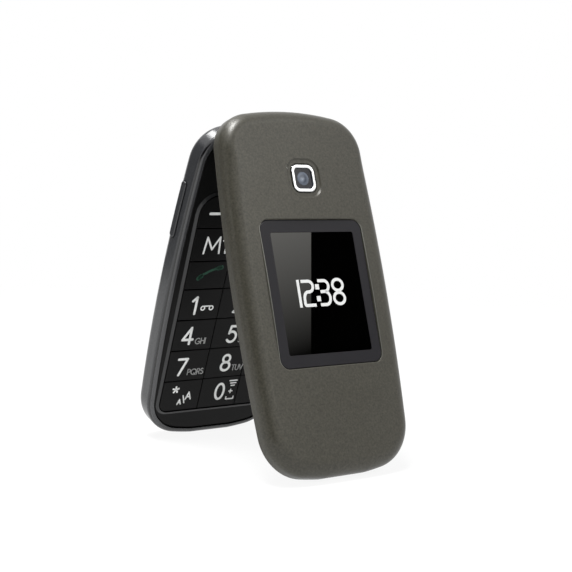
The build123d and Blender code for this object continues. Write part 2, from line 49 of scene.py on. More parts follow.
def halfPlace(degrees):
    # From a half's own millimetres to its place in the open phone, in metres
    turn = Matrix.Rotation(math.radians(degrees), 4, "X")
    return Matrix.Translation(hingeLine) @ turn @ Matrix.Scale(stance["millimetre"], 4)


lidPlace = halfPlace(lidTurn)
basePlace = halfPlace(baseTurn)

# What the inputs of the shared node groups start from; every finish gives its own values over these
grainStart = {"Scale": 3000.0, "Strength": 0.2}
driftStart = {"Value": 1.0, "Spread": 0.1, "Scale": 60.0}
noiseRules = {"grainDetail": 3.0, "grainDepth": 0.0001, "driftDetail": 2.0, "speckDetail": 6.0}


def newGroup(treeKind, name, inputs, outputKind, outputName):
    # A node group with named inputs, each with its kind and first value, and one output
    tree = bpy.data.node_groups.new(name, treeKind)
    for label, kind, value in inputs:
        socket = tree.interface.new_socket(label, in_out="INPUT", socket_type=kind)
        if value is not None:
            socket.default_value = value
    tree.interface.new_socket(outputName, in_out="OUTPUT", socket_type=outputKind)
    return tree, tree.nodes.new("NodeGroupInput"), tree.nodes.new("NodeGroupOutput")


def mathNode(tree, operation, *feeds):
    # A math node fed with numbers or with other nodes' outputs
    node = tree.nodes.new("ShaderNodeMath")
    node.operation = operation
    for index, feed in enumerate(feeds):
        if isinstance(feed, bpy.types.NodeSocket):
            tree.links.new(feed, node.inputs[index])
        else:
            node.inputs[index].default_value = feed
    return node.outputs[0]


def remap(tree, value, fromLow, fromHigh, toLow, toHigh):
    # Stretches a value from one range to another
    node = tree.nodes.new("ShaderNodeMapRange")
    for label, number in (("From Min", fromLow), ("From Max", fromHigh), ("To Min", toLow), ("To Max", toHigh)):
        node.inputs[label].default_value = number
    tree.links.new(value, node.inputs["Value"])
    return node.outputs[0]


def tint(tree, color, share):
    # A colour times a share that changes over the surface
    paint = tree.nodes.new("ShaderNodeVectorMath")
    paint.operation = "SCALE"
    paint.inputs[0].default_value = color
    tree.links.new(share, paint.inputs["Scale"])
    return paint.outputs[0]


def noiseField(tree, groupIn, detail):
    # Noise on the piece's own coordinates, its scale fed from the group
    place = tree.nodes.new("ShaderNodeTexCoord")
    noise = tree.nodes.new("ShaderNodeTexNoise")
    noise.inputs["Detail"].default_value = detail
    tree.links.new(place.outputs["Object"], noise.inputs["Vector"])
    tree.links.new(groupIn.outputs["Scale"], noise.inputs["Scale"])
    return noise.outputs["Fac"]


def makeGrain():
    # The fine bumps of moulded plastic
    inputs = [(label, "NodeSocketFloat", value) for label, value in grainStart.items()]
    tree, groupIn, groupOut = newGroup("ShaderNodeTree", "mouldedGrain", inputs, "NodeSocketVector", "Normal")
    bump = tree.nodes.new("ShaderNodeBump")
    bump.inputs["Distance"].default_value = noiseRules["grainDepth"]
    tree.links.new(noiseField(tree, groupIn, noiseRules["grainDetail"]), bump.inputs["Height"])
    tree.links.new(groupIn.outputs["Strength"], bump.inputs["Strength"])
    tree.links.new(bump.outputs["Normal"], groupOut.inputs["Normal"])
    return tree


def makeDrift(name, detail):
    # A value that wanders by a share either way, for tone and for polish
    inputs = [(label, "NodeSocketFloat", value) for label, value in driftStart.items()]
    tree, groupIn, groupOut = newGroup("ShaderNodeTree", name, inputs, "NodeSocketFloat", "Value")
    centred = mathNode(tree, "SUBTRACT", noiseField(tree, groupIn, detail), 0.5)
    widened = mathNode(tree, "MULTIPLY_ADD", centred, groupIn.outputs["Spread"], 1.0)
    tree.links.new(mathNode(tree, "MULTIPLY", widened, groupIn.outputs["Value"]), groupOut.inputs["Value"])
    return tree


grainGroup = makeGrain()
driftGroup = makeDrift("slowDrift", noiseRules["driftDetail"])
speckGroup = makeDrift("fineSpeck", noiseRules["speckDetail"])


def groupNode(tree, group, **values):
    node = tree.nodes.new("ShaderNodeGroup")
    node.node_tree = group
    for label, value in values.items():
        node.inputs[label].default_value = value
    return node.outputs[0]


# What a finish has where it doesn't say otherwise
plainFinish = {
    "metallic": 0.0, "specular": 0.5, "glow": 0.0, "toneSpread": 0.15, "toneScale": 45.0,
    "speckSpread": 0.1, "speckScale": 2500.0, "polishSpread": 0.3, "polishScale": 120.0,
    "grain": 0.15, "grainScale": 3000.0,
}


def shadedMaterial(name, ownFinish):
    # One moulded, painted or metal finish, with its tone, polish and grain from the groups
    finish = {**plainFinish, **ownFinish}
    material = bpy.data.materials.new(name)
    material.use_nodes = True
    tree = material.node_tree
    shader = tree.nodes["Principled BSDF"]
    shader.inputs["Metallic"].default_value = finish["metallic"]
    shader.inputs["Specular IOR Level"].default_value = finish["specular"]
    shader.inputs["Emission Color"].default_value = (*finish["color"], 1)
    shader.inputs["Emission Strength"].default_value = finish["glow"]
    tone = groupNode(tree, driftGroup, Value=1.0, Spread=finish["toneSpread"], Scale=finish["toneScale"])
    speck = groupNode(tree, speckGroup, Value=1.0, Spread=finish["speckSpread"], Scale=finish["speckScale"])
    paint = tint(tree, finish["color"], mathNode(tree, "MULTIPLY", tone, speck))
    tree.links.new(paint, shader.inputs["Base Color"])
    polish = groupNode(
        tree, driftGroup, Value=finish["roughness"], Spread=finish["polishSpread"], Scale=finish["polishScale"]
    )
    tree.links.new(polish, shader.inputs["Roughness"])
    grain = groupNode(tree, grainGroup, Scale=finish["grainScale"], Strength=finish["grain"])
    tree.links.new(grain, shader.inputs["Normal"])
    return material


def halfSpot(tree, place, degrees, point):
    # Position in the plane of one half, in metres from a point that is given in its millimetres
    where = tree.nodes.new("ShaderNodeTexCoord")
    mapping = tree.nodes.new("ShaderNodeMapping")
    mapping.vector_type = "TEXTURE"
    mapping.inputs["Location"].default_value = place @ Vector(point)
    mapping.inputs["Rotation"].default_value = (math.radians(degrees), 0, 0)
    tree.links.new(where.outputs["Object"], mapping.inputs["Vector"])
    split = tree.nodes.new("ShaderNodeSeparateXYZ")
    tree.links.new(mapping.outputs[0], split.inputs[0])
    return split.outputs


def fadeOut(tree, distance, edge, softness):
    # 1 below the edge and 0 beyond it
    low, high = (edge - softness) * stance["millimetre"], (edge + softness) * stance["millimetre"]
    return remap(tree, distance, low, high, 1.0, 0.0)


def boxMask(tree, down, size, softness):
    # 1 inside a box drawn on the lid and 0 outside it, with all sizes in millimetres as in the next two masks
    spot = halfSpot(tree, lidPlace, lidTurn, (0, -down, 0))
    sides = []
    for index, length in enumerate(size):
        sides.append(fadeOut(tree, mathNode(tree, "ABSOLUTE", spot[index]), length / 2, softness))
    return mathNode(tree, "MULTIPLY", *sides)


def discMask(tree, across, down, radius, softness):
    # 1 inside a circle drawn on the lid
    spot = halfSpot(tree, lidPlace, lidTurn, (across, -down, 0))
    flat = tree.nodes.new("ShaderNodeCombineXYZ")
    tree.links.new(spot["X"], flat.inputs["X"])
    tree.links.new(spot["Y"], flat.inputs["Y"])
    reach = tree.nodes.new("ShaderNodeVectorMath")
    reach.operation = "LENGTH"
    tree.links.new(flat.outputs[0], reach.inputs[0])
    return fadeOut(tree, reach.outputs["Value"], radius, softness)


def heightMask(tree, low, high, softness):
    # 1 between two heights of the base half
    spot = halfSpot(tree, basePlace, baseTurn, (0, 0, (low + high) / 2))
    return fadeOut(tree, mathNode(tree, "ABSOLUTE", spot["Z"]), (high - low) / 2, softness)


def overlay(tree, mask, color):
    # Lays a colour over a material's paint where the mask is 1
    shader = tree.nodes["Principled BSDF"]
    under = shader.inputs["Base Color"].links[0].from_socket
    mix = tree.nodes.new("ShaderNodeMix")
    mix.data_type = "RGBA"
    first, second = [socket for socket in mix.inputs if socket.type == "RGBA"]
    result = [socket for socket in mix.outputs if socket.type == "RGBA"][0]
    second.default_value = (*color, 1)
    tree.links.new(mask, mix.inputs["Factor"])
    tree.links.new(under, first)
    tree.links.new(result, shader.inputs["Base Color"])


# Finishes of the CAD nodes
finishes = {
    "lidPaint": {
        "color": (0.0390, 0.0366, 0.0272), "roughness": 0.35, "metallic": 0.15, "specular": 0.44,
        "toneSpread": 0.10, "speckSpread": 1.5, "speckScale": 1700.0, "grain": 0.22, "grainScale": 2400.0,
    },
    "sideShell": {
        "color": (0.0140, 0.0147, 0.0168), "roughness": 0.20,
        "specular": 0.75, "grain": 0.06, "toneSpread": 0.12,
    },
    "housingBlack": {
        "color": (0.0032, 0.0032, 0.0031), "roughness": 0.30,
        "specular": 0.15, "grain": 0.06, "toneSpread": 0.10,
    },
    "windowSurround": {
        "color": (0.0108, 0.0102, 0.0124), "roughness": 0.34,
        "specular": 0.20, "grain": 0.08, "grainScale": 1800.0,
    },
    "keyBlack": {
        "color": (0.0022, 0.0022, 0.0022), "roughness": 0.36,
        "specular": 0.15, "grain": 0.10, "speckSpread": 0.3,
    },
    "ringChrome": {
        "color": (0.92, 0.93, 0.94), "roughness": 0.12, "metallic": 1.0,
        "grain": 0.01, "speckSpread": 0.03, "toneSpread": 0.04,
    },
    "lensPlate": {
        "color": (0.010, 0.011, 0.016), "roughness": 0.16, "specular": 0.35, "grain": 0.02,
    },
    "boardGreen": {
        "color": (0.010, 0.085, 0.035), "roughness": 0.42,
        "speckSpread": 0.5, "speckScale": 900.0, "grain": 0.2,
    },
    "screenPanel": {"color": (0.012, 0.013, 0.015), "roughness": 0.2, "grain": 0.02},
    "steelPart": {
        "color": (0.55, 0.55, 0.54), "roughness": 0.3, "metallic": 1.0, "grain": 0.12, "speckSpread": 0.12,
    },
    "footRubber": {
        "color": (0.02, 0.02, 0.02), "roughness": 0.8, "specular": 0.3, "grain": 0.3, "grainScale": 1500.0,
    },
    "keyMatSilicone": {"color": (0.36, 0.36, 0.35), "roughness": 0.62, "specular": 0.35, "grain": 0.2},
    "domeFilm": {"color": (0.48, 0.46, 0.38), "roughness": 0.25, "speckSpread": 0.2},
    "batteryWrap": {"color": (0.045, 0.046, 0.052), "roughness": 0.4, "specular": 0.4, "grain": 0.1},
    "contactGold": {"color": (0.72, 0.50, 0.18), "roughness": 0.25, "metallic": 1.0, "speckSpread": 0.1},
    "unitPlastic": {"color": (0.03, 0.03, 0.031), "roughness": 0.5, "specular": 0.4, "grain": 0.2},
    "innerGlass": {
        "color": (0.0012, 0.0012, 0.0013), "roughness": 0.02, "grain": 0.0,
        "polishSpread": 0.5, "polishScale": 30.0,
    },
    "glassBlack": {
        "color": (0.0003, 0.0003, 0.0003), "roughness": 0.006, "grain": 0.0,
        "polishSpread": 0.5, "polishScale": 30.0,
    },
}
materials = {name: shadedMaterial(name, finish) for name, finish in finishes.items()}
print("finishes made:", len(materials))

# Rings painted on the camera lens: its bluish coating with a painted reflection in it, a painted shade in its
# throat and a painted glint highlight; (across, down, radius, softness, colour)
lensRings = {
    "coatingAndReflection": (0.0, 18.5, 2.0, 0.12, (0.088, 0.104, 0.134)),
    "paintedThroatShade": (0.0, 18.5, 1.25, 0.35, (0.048, 0.058, 0.078)),
    "paintedGlint": (-0.55, 18.9, 0.55, 0.45, (0.20, 0.225, 0.27)),
}
lensTree = materials["lensPlate"].node_tree
for across, down, radius, softness, color in lensRings.values():
    overlay(lensTree, discMask(lensTree, across, down, radius, softness), color)

# The large display shows a little greyer than the print round it
screenArea = {"down": 52.0, "size": (37.0, 50.0), "softness": 0.1, "color": (0.0065, 0.0070, 0.0085)}
screenTree = materials["innerGlass"].node_tree
screenMask = boxMask(screenTree, screenArea["down"], screenArea["size"], screenArea["softness"])
overlay(screenTree, screenMask, screenArea["color"])

# A dark seam line and a lighter line along the front rounding of the side band, the lighter edge line being a
# painted highlight: (low, high, softness, colour)
seamAndHighlightLines = {
    "seam": (-0.95, -0.62, 0.06, (0.0012, 0.0012, 0.0014)),
    "edge": (-0.58, 0.40, 0.05, (0.045, 0.046, 0.049)),
}
sideTree = materials["sideShell"].node_tree
for low, high, softness, color in seamAndHighlightLines.values():
    overlay(sideTree, heightMask(sideTree, low, high, softness), color)

keyStarts = ("key_", "softkey", "memory_key")
keyNames = [name for name in cadNodes if name.startswith(keyStarts) or name.endswith("_key")]
keyNames.remove("volume_key")
nodeFinish = {
    "lid_outer_cover": "lidPaint", "lid_inner_cover": "housingBlack", "front_housing": "housingBlack",
    "rear_housing": "sideShell", "battery_cover": "sideShell", "volume_key": "sideShell",
    "window_frame": "windowSurround", "outer_window": "glassBlack", "inner_window": "innerGlass",
    "camera_ring": "ringChrome", "camera_lens": "lensPlate", "camera_module": "unitPlastic",
    "main_display": "screenPanel", "outer_display": "screenPanel", "lid_board": "boardGreen",
    "main_board": "boardGreen", "earpiece": "unitPlastic", "earpiece_mesh": "steelPart",
    "lid_magnet": "steelPart", "lid_bumpers": "footRubber", "lid_screws": "steelPart",
    "base_screws": "steelPart", "hinge_cam": "steelPart", "hinge_can": "steelPart",
    "hinge_spring": "steelPart", "hinge_pin": "steelPart", "volume_switch": "unitPlastic",
    "keypad_mat": "keyMatSilicone", "dome_sheet": "domeFilm", "shield_can": "steelPart",
    "loudspeaker": "unitPlastic", "vibration_motor": "steelPart", "battery": "batteryWrap",
    "battery_contacts": "contactGold", "card_holder": "steelPart", "antenna": "unitPlastic",
    "microphone": "steelPart", "charge_socket": "steelPart",
}
for name in keyNames:
    nodeFinish[name] = "keyBlack"
for name, node in cadNodes.items():
    node.data.materials.clear()
    node.data.materials.append(materials[nodeFinish[name]])
print("finishes given to", len(cadNodes), "CAD nodes")


# Printed characters are strokes, drawn as narrow flat ribbons
strokeRules = {
    "fewestSteps": 4, "degreesPerStep": 14, "sharpTurn": 32.0, "shortest": 1e-6,
    "loopPoints": 5, "closingGap": 1e-4, "discSides": 18,
}


def arc(cx, cy, rx, ry, start, end):
    # Points along part of an ellipse, its ends in degrees
    steps = max(strokeRules["fewestSteps"], int(abs(end - start) / strokeRules["degreesPerStep"]))
    points = []
    for step in range(steps + 1):
        angle = math.radians(start + (end - start) * step / steps)
        points.append((cx + rx * math.cos(angle), cy + ry * math.sin(angle)))
    return points


def quarter(cornerX, cornerY, radius, start):
    # The quarter circle of a rounded corner
    return arc(cornerX, cornerY, radius, radius, start, start + 90)


# The corners of an outline in the order it runs: side, end and the angle at which the turn starts
cornerTurns = ((1, 1, 0), (-1, 1, 90), (-1, -1, 180), (1, -1, 270))

# Every character stands on y = 0 and is 1 high; the first number is its width
glyphs = {
    "0": (0.56, [arc(0.28, 0.5, 0.28, 0.5, 0, 360)]),
    "1": (0.26, [[(0.0, 0.78), (0.24, 1.0), (0.24, 0.0)]]),
    "2": (0.58, [arc(0.28, 0.71, 0.28, 0.29, 170, -38) + [(0.0, 0.0), (0.58, 0.0)]]),
    "3": (0.56, [arc(0.26, 0.755, 0.245, 0.245, 155, -90) + arc(0.26, 0.27, 0.29, 0.27, 90, -155)]),
    "4": (0.66, [[(0.47, 0.0), (0.47, 1.0), (0.0, 0.27), (0.66, 0.27)]]),
    "5": (0.58, [[(0.54, 1.0), (0.15, 1.0), (0.08, 0.56)] + arc(0.27, 0.33, 0.31, 0.33, 120, -145)]),
    "6": (0.60, [arc(0.30, 0.31, 0.30, 0.31, 0, 360), [(0.04, 0.43), (0.40, 1.0)]]),
    "7": (0.58, [[(0.0, 1.0), (0.58, 1.0), (0.16, 0.0)]]),
    "8": (0.58, [arc(0.29, 0.76, 0.235, 0.24, 0, 360), arc(0.29, 0.27, 0.29, 0.27, 0, 360)]),
    "9": (0.60, [arc(0.30, 0.69, 0.30, 0.31, 0, 360), [(0.56, 0.57), (0.20, 0.0)]]),
    "A": (0.74, [[(0.0, 0.0), (0.37, 1.0), (0.74, 0.0)], [(0.13, 0.34), (0.61, 0.34)]]),
    "B": (0.52, [[(0.27, 1.0), (0.0, 1.0), (0.0, 0.0), (0.27, 0.0)], [(0.0, 0.53), (0.27, 0.53)],
                 arc(0.27, 0.765, 0.22, 0.235, 90, -90), arc(0.27, 0.265, 0.25, 0.265, 90, -90)]),
    "C": (0.80, [arc(0.48, 0.5, 0.48, 0.5, 48, 312)]),
    "D": (0.68, [[(0.2, 1.0), (0.0, 1.0), (0.0, 0.0), (0.2, 0.0)], arc(0.2, 0.5, 0.48, 0.5, 90, -90)]),
    "E": (0.48, [[(0.48, 1.0), (0.0, 1.0), (0.0, 0.0), (0.48, 0.0)], [(0.0, 0.53), (0.42, 0.53)]]),
    "F": (0.46, [[(0.46, 1.0), (0.0, 1.0), (0.0, 0.0)], [(0.0, 0.53), (0.40, 0.53)]]),
    "G": (0.92, [arc(0.48, 0.5, 0.48, 0.5, 48, 352) + [(0.55, 0.43)]]),
    "H": (0.62, [[(0.0, 1.0), (0.0, 0.0)], [(0.62, 1.0), (0.62, 0.0)], [(0.0, 0.53), (0.62, 0.53)]]),
    "I": (0.02, [[(0.01, 1.0), (0.01, 0.0)]]),
    "J": (0.36, [[(0.36, 1.0), (0.36, 0.22)] + arc(0.18, 0.2, 0.18, 0.2, 0, -150)]),
    "K": (0.56, [[(0.0, 1.0), (0.0, 0.0)], [(0.52, 1.0), (0.02, 0.47), (0.56, 0.0)]]),
    "L": (0.42, [[(0.0, 1.0), (0.0, 0.0), (0.42, 0.0)]]),
    "M": (1.06, [[(0.0, 0.0), (0.10, 1.0), (0.53, 0.24), (0.96, 1.0), (1.06, 0.0)]]),
    "N": (0.66, [[(0.0, 0.0), (0.0, 1.0), (0.66, 0.0), (0.66, 1.0)]]),
    "O": (0.98, [arc(0.49, 0.5, 0.49, 0.5, 0, 360)]),
    "P": (0.50, [[(0.0, 0.0), (0.0, 1.0), (0.24, 1.0)], [(0.0, 0.46), (0.24, 0.46)],
                 arc(0.24, 0.73, 0.26, 0.27, 90, -90)]),
    "Q": (0.98, [arc(0.49, 0.5, 0.49, 0.5, 0, 360), [(0.58, 0.26), (0.92, -0.06)]]),
    "R": (0.52, [[(0.0, 0.0), (0.0, 1.0), (0.24, 1.0)], [(0.0, 0.48), (0.24, 0.48), (0.52, 0.0)],
                 arc(0.24, 0.74, 0.25, 0.26, 90, -90)]),
    "S": (0.50, [arc(0.26, 0.75, 0.22, 0.25, 35, 250) + arc(0.24, 0.26, 0.25, 0.26, 75, -150)]),
    "T": (0.58, [[(0.0, 1.0), (0.58, 1.0)], [(0.29, 1.0), (0.29, 0.0)]]),
    "U": (0.60, [[(0.0, 1.0), (0.0, 0.3)] + arc(0.30, 0.3, 0.30, 0.3, 180, 360) + [(0.60, 1.0)]]),
    "V": (0.68, [[(0.0, 1.0), (0.34, 0.0), (0.68, 1.0)]]),
    "W": (0.98, [[(0.0, 1.0), (0.25, 0.0), (0.49, 0.8), (0.73, 0.0), (0.98, 1.0)]]),
    "X": (0.62, [[(0.0, 1.0), (0.62, 0.0)], [(0.62, 1.0), (0.0, 0.0)]]),
    "Y": (0.62, [[(0.0, 1.0), (0.31, 0.5), (0.62, 1.0)], [(0.31, 0.5), (0.31, 0.0)]]),
    "Z": (0.58, [[(0.0, 1.0), (0.58, 1.0), (0.0, 0.0), (0.58, 0.0)]]),
    "+": (0.60, [[(0.0, 0.45), (0.60, 0.45)], [(0.30, 0.75), (0.30, 0.15)]]),
    "-": (0.60, [[(0.0, 0.45), (0.60, 0.45)]]),
    "#": (0.62, [[(0.16, 0.0), (0.26, 1.0)], [(0.42, 0.0), (0.52, 1.0)], [(0.0, 0.33), (0.62, 0.33)],
                 [(0.04, 0.67), (0.66, 0.67)]]),
    "\\": (0.30, [[(0.0, 1.0), (0.30, 0.0)]]),
}


def wordStrokes(text, height, gap):
    # The strokes of a word in millimetres, from x = 0, and its width
    pen = 0.0
    strokes = []
    for letter in text:
        width, paths = glyphs[letter]
        for path in paths:
            strokes.append([(pen + x * height, y * height) for x, y in path])
        pen += width * height + gap
    return strokes, pen - gap


def moveStrokes(strokes, dx, dy):
    return [[(x + dx, y + dy) for x, y in path] for path in strokes]


def placedWord(text, left, middleDown, height, gap):
    # A word that starts this far across, with its middle this far down the half
    strokes, _ = wordStrokes(text, height, gap)
    return moveStrokes(strokes, left, -middleDown - height / 2)


def smoothRuns(path):
    # Cuts a path where it turns sharply, so that each run bends smoothly
    runs, run = [], [path[0]]
    for before, here, after in zip(path, path[1:], path[2:]):
        run.append(here)
        first = Vector(here) - Vector(before)
        second = Vector(after) - Vector(here)
        if min(first.length, second.length) < strokeRules["shortest"]:
            continue
        if math.degrees(first.angle(second)) > strokeRules["sharpTurn"]:
            runs.append(run)
            run = [here]
    run.append(path[-1])
    runs.append(run)
    return runs


def isLoop(path):
    gap = (Vector(path[0]) - Vector(path[-1])).length
    return len(path) >= strokeRules["loopPoints"] and gap < strokeRules["closingGap"]


def addPrism(mesh, outline, low, high):
    # A closed flat prism on an outline that runs anticlockwise
    top = [mesh.verts.new((x, y, high)) for x, y in outline]
    foot = [mesh.verts.new((x, y, low)) for x, y in outline]
    mesh.faces.new(top)
    mesh.faces.new(list(reversed(foot)))
    for index in range(len(outline)):
        after = (index + 1) % len(outline)
        mesh.faces.new((top[index], foot[index], foot[after], top[after]))


def addBar(mesh, sections, closed):
    # Joins four-cornered sections into a closed hoop, or into a bar with two ends
    rings = [[mesh.verts.new(corner) for corner in section] for section in sections]
    following = rings[1:] + rings[:1] if closed else rings[1:]
    for first, second in zip(rings, following):
        for index in range(4):
            after = (index + 1) % 4
            mesh.faces.new((first[index], second[index], second[after], first[after]))
    if not closed:
        mesh.faces.new(rings[0])
        mesh.faces.new(list(reversed(rings[-1])))


def addRibbon(mesh, path, width, low, high):
    # One smooth run as a flat bar, or as a hoop where the run closes
    points = [Vector(point) for point in path]
    closed = isLoop(path)
    if closed:
        points = points[:-1]
    count = len(points)
    sections = []
    for index, point in enumerate(points):
        before = points[index - 1] if index or closed else point
        after = points[(index + 1) % count] if index < count - 1 or closed else point
        along = (after - before).normalized()
        across = Vector((-along.y, along.x)) * (width / 2)
        left, right = point + across, point - across
        sections.append([(*left, high), (*right, high), (*right, low), (*left, low)])
    addBar(mesh, sections, closed)


def addDisc(mesh, centre, radius, low, high):
    outline = []
    for step in range(strokeRules["discSides"]):
        angle = 2 * math.pi * step / strokeRules["discSides"]
        outline.append((centre[0] + radius * math.cos(angle), centre[1] + radius * math.sin(angle)))
    addPrism(mesh, outline, low, high)


def addStrokes(mesh, strokes, width, low, high, roundEnds=True):
    # Ribbons along the strokes, with a disc at each sharp turn and round end
    for path in strokes:
        runs = smoothRuns(path)
        for run in runs:
            addRibbon(mesh, run, width, low, high)
        joints = [run[0] for run in runs[1:]]
        if roundEnds and not isLoop(path):
            joints += [path[0], path[-1]]
        for spot in joints:
            addDisc(mesh, spot, width / 2, low, high)


def linkObject(name, data):
    linked = bpy.data.objects.new(name, data)
    bpy.context.scene.collection.objects.link(linked)
    return linked


def ridePiece(name, data, material, body):
    # Makes a finished mesh a piece that rides on a body
    piece = linkObject(name, data)
    if not data.materials:
        data.materials.append(material)
    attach(piece, body)


def finishPiece(mesh, name, place, material, body):
    # Turns drawn mesh data into a piece in its real place
    bmesh.ops.recalc_face_normals(mesh, faces=mesh.faces)
    data = bpy.data.meshes.new(name)
    mesh.to_mesh(data)
    mesh.free()
    data.transform(place)
    ridePiece(name, data, material, body)


# Printed legends on the keys, with their sizes in the base half's millimetres
legend = {
    "keyFace": -0.05, "sink": 0.03, "rise": 0.025, "digitHeight": 5.5, "digitStroke": 0.84,
    "letterHeight": 1.9, "letterStroke": 0.32, "letterGap": 0.32, "letterLift": 0.8,
}
keyLow = legend["keyFace"] - legend["sink"]
keyHigh = legend["keyFace"] + legend["rise"]
inkStart = {"specular": 0.3, "grain": 0.04}  # the same in every ink
legendFinishes = {
    # The white ink also glows a little: painted light that brightens the white print where it lies in shade
    "legendWhiteGlowing": {"color": (0.70, 0.71, 0.70), "roughness": 0.45, "speckSpread": 0.06, "glow": 0.16},
    "legendGrey": {"color": (0.34, 0.345, 0.34), "roughness": 0.45, "speckSpread": 0.08},
    "legendGreen": {"color": (0.010, 0.060, 0.034), "roughness": 0.4, "speckSpread": 0.15},
    "legendRed": {"color": (0.16, 0.012, 0.010), "roughness": 0.4, "speckSpread": 0.15},
}
for name, finish in legendFinishes.items():
    materials[name] = shadedMaterial(name, {**inkStart, **finish})

# A telephone receiver, a slim bowed handle with thick ends, before its size is applied
receiver = {
    "bowRadius": 3.22, "bowMiddle": -3.05, "halfSweep": 17.5, "earReach": 0.26, "earLift": 0.06,
    "handleWidth": 0.19, "earWidth": 0.34,
}


def addReceiver(mesh, cx, cy, size, tilt, low, high):
    radius, sweep = receiver["bowRadius"], receiver["halfSweep"]
    bow = arc(0, receiver["bowMiddle"], radius, radius, 90 + sweep, 90 - sweep)
    ears = []
    for (x, y), side in ((bow[0], 1), (bow[-1], -1)):
        ears.append([(x, y), (x + side * receiver["earReach"], y + receiver["earLift"])])
    cosine, sine = math.cos(math.radians(tilt)), math.sin(math.radians(tilt))
    for paths, width in (([bow], receiver["handleWidth"]), (ears, receiver["earWidth"])):
        turned = []
        for path in paths:
            turned.append([
                (cx + size * (x * cosine - y * sine), cy + size * (x * sine + y * cosine)) for x, y in path
            ])
        addStrokes(mesh, turned, width * size, low, high)


# Round petals about a middle
star = {"across": -16.5, "down": 87.7, "radius": 1.4, "core": 0.34, "reach": 0.74, "petal": 0.44, "petals": 5}


def addStar(mesh, low, high):
    cx, cy, radius = star["across"], -star["down"], star["radius"]
    addDisc(mesh, (cx, cy), radius * star["core"], low, high)
    for petal in range(star["petals"]):
        angle = math.radians(90 + 360 / star["petals"] * petal)
        reach = radius * star["reach"]
        tip = (cx + reach * math.cos(angle), cy + reach * math.sin(angle))
        addStrokes(mesh, [[(cx, cy), tip]], radius * star["petal"], low, high)


# Key: (digit, x of its middle, letters, x where they start, how far down the base the digit's middle is)
digitKeys = {
    "key_1": ("1", -16.4, "", 0, 58.5),
    "key_2": ("2", 0.1, "ABC", 2.9, 58.6),
    "key_3": ("3", 11.9, "DEF", 14.7, 58.6),
    "key_4": ("4", -16.2, "GHI", -13.2, 68.9),
    "key_5": ("5", 0.1, "JKL", 2.9, 69.2),
    "key_6": ("6", 11.9, "MNO", 14.7, 69.1),
    "key_7": ("7", -16.1, "PQRS", -13.6, 79.7),
    "key_8": ("8", 0.2, "TUV", 2.9, 79.4),
    "key_9": ("9", 11.9, "WXYZ", 14.5, 79.5),
    "key_0": ("0", 0.3, "", 0, 89.8),
}
# Key: its small marks, each group with the width of its strokes
keyMarks = {
    "key_1": [(0.42, [
        arc(-13.1, -59.5, 0.66, 0.66, 0, 360), arc(-10.1, -59.5, 0.66, 0.66, 0, 360),
        [(-12.9, -58.85), (-10.3, -58.85)],
    ])],
    "key_0": [(0.42, [
        [(3.5, -86.2), (6.3, -86.2)], [(3.9, -87.1), (6.0, -87.1)], [(4.3, -88.0), (5.6, -88.0)],
        [(3.3, -92.1), (3.3, -92.9), (6.1, -92.9), (6.1, -92.1)],
    ])],
    "softkey_left": [(0.85, [[(-17.6, -28.3), (-14.0, -28.3)]])],
    "softkey_right": [(0.85, [[(14.0, -28.3), (17.6, -28.3)]])],
    "nav_key": [
        (0.6, [[(-1.7, -26.6), (0, -25.1), (1.7, -26.6)], [(-1.7, -39.8), (0, -41.3), (1.7, -39.8)]]),
        (0.4, [arc(0, -33.2, 3.1, 3.1, 0, 360)]),
    ],
}
# Key: its words, each as (text, x where it starts, how far down its middle is, height, gap, stroke width)
keyWords = {
    "key_0": [("+", 3.9, 89.95, 2.1, 0, 0.40)],
    "star_key": [
        ("A", -15.0, 92.2, 1.7, 0, 0.42), ("\\", -13.3, 91.4, 2.6, 0, 0.42), ("A", -12.3, 90.2, 2.5, 0, 0.50),
    ],
    "hash_key": [("#", 12.4, 89.7, 4.2, 0, 0.55)],
    "memory_key_1": [("M1", -17.2, 38.5, 5.2, 0.95, 0.62)],
    "memory_key_2": [("M2", 9.8, 38.5, 5.2, 0.95, 0.62)],
    "clear_key": [("C", -1.5, 48.4, 3.6, 0, 0.62)],
}
# Key: its receiver as (x, y, size, tilt in degrees, finish)
keyReceivers = {
    "call_key": (-13.2, -47.7, 4.3, 24, "legendGreen"),
    "end_key": (14.0, -48.3, 3.9, 0, "legendRed"),
}


def printLegend(mesh, keyName):
    # Adds a key's marks, words and receiver to what is drawn already, and closes the legend
    finishName = "legendWhiteGlowing"
    for stroke, paths in keyMarks.get(keyName, []):
        addStrokes(mesh, paths, stroke, keyLow, keyHigh)
    for text, left, down, height, gap, stroke in keyWords.get(keyName, []):
        addStrokes(mesh, placedWord(text, left, down, height, gap), stroke, keyLow, keyHigh)
    if keyName in keyReceivers:
        cx, cy, size, tilt, finishName = keyReceivers[keyName]
        addReceiver(mesh, cx, cy, size, tilt, keyLow, keyHigh)
    finishPiece(mesh, "legend_" + keyName, basePlace, materials[finishName], keyName)


for keyName, (digit, middle, letters, lettersLeft, down) in digitKeys.items():
    mesh = bmesh.new()
    _, width = wordStrokes(digit, legend["digitHeight"], 0)
    strokes = placedWord(digit, middle - width / 2, down, legend["digitHeight"], 0)
    addStrokes(mesh, strokes, legend["digitStroke"], keyLow, keyHigh)
    printLegend(mesh, keyName)
    if letters:
        mesh = bmesh.new()
        lettersDown = down + legend["digitHeight"] / 2 - legend["letterLift"]
        strokes = placedWord(letters, lettersLeft, lettersDown, legend["letterHeight"], legend["letterGap"])
        addStrokes(mesh, strokes, legend["letterStroke"], keyLow, keyHigh)
        finishPiece(mesh, "letters_" + keyName, basePlace, materials["legendGrey"], keyName)

for keyName in (
    "star_key", "hash_key", "memory_key_1", "memory_key_2", "softkey_left", "softkey_right",
    "call_key", "end_key", "clear_key", "nav_key",
):
    mesh = bmesh.new()
    if keyName == "star_key":
        addStar(mesh, keyLow, keyHigh)
    printLegend(mesh, keyName)
print("legends printed on", len(keyNames), "keys")
